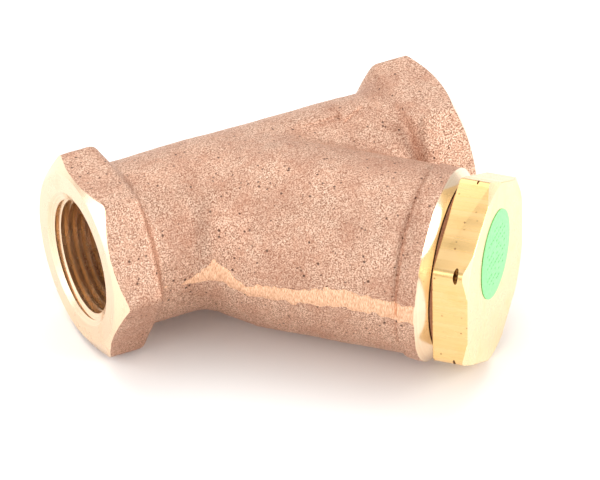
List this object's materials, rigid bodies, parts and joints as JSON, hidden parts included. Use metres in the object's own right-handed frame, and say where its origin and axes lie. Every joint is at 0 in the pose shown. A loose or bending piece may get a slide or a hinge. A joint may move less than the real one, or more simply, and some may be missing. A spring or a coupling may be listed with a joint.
{
  "type": "y strainer",
  "caption": "Y-pattern pipe strainer: cast bronze run with threaded hex ends, an angled branch holding a cylindrical screen, and a screwed hex retainer cap on a flat gasket.",
  "frame": {"origin": "middle of the footprint of the whole strainer, at the height of the cap's lowest corner", "axes": "+X along the run from the inlet face to the outlet face, +Z square to the plane that holds the run and the branch, and the branch leaves the run towards +X and -Y"},
  "size_m": [0.0878, 0.0798, 0.044],
  "materials": {
    "cast_bronze": "as-cast sand texture, pinkish tan, with machined faces and threads",
    "cap_brass": "bright machined yellow brass",
    "stainless_screen": "plain stainless",
    "fibre_gasket": "matt pressed fibre",
    "green_label": "matt printed paper dot"
  },
  "bodies": {
    "body": {"body_casting": "cast_bronze"},
    "gasket": {"cap_gasket": "fibre_gasket"},
    "cap": {"retainer_cap": "cap_brass", "cap_label": "green_label"},
    "screen": {"screen_sleeve": "stainless_screen", "screen_inner_band": "stainless_screen", "screen_outer_band": "stainless_screen", "screen_seam_strip": "stainless_screen"}
  },
  "joints": [
    {"name": "cap_travel", "type": "slide", "parent": "body", "child": "gasket", "axis": [0.7071, -0.7071, 0], "range_m": [0, 0.01058]},
    {"name": "cap_turn", "type": "hinge", "parent": "gasket", "child": "cap", "pos_m": [0.02513, -0.0211, 0.022], "axis": [0.7071, -0.7071, 0], "range_deg": [0, 1800]},
    {"name": "screen_travel", "type": "slide", "parent": "body", "child": "screen", "axis": [0.7071, -0.7071, 0], "range_m": [0, 0.01058]}
  ],
  "couplings": [
    {"joint": "cap_travel", "follows": "cap_turn", "m_per_rad": 0.00033688},
    {"joint": "screen_travel", "follows": "cap_turn", "m_per_rad": 0.00033688}
  ]
}
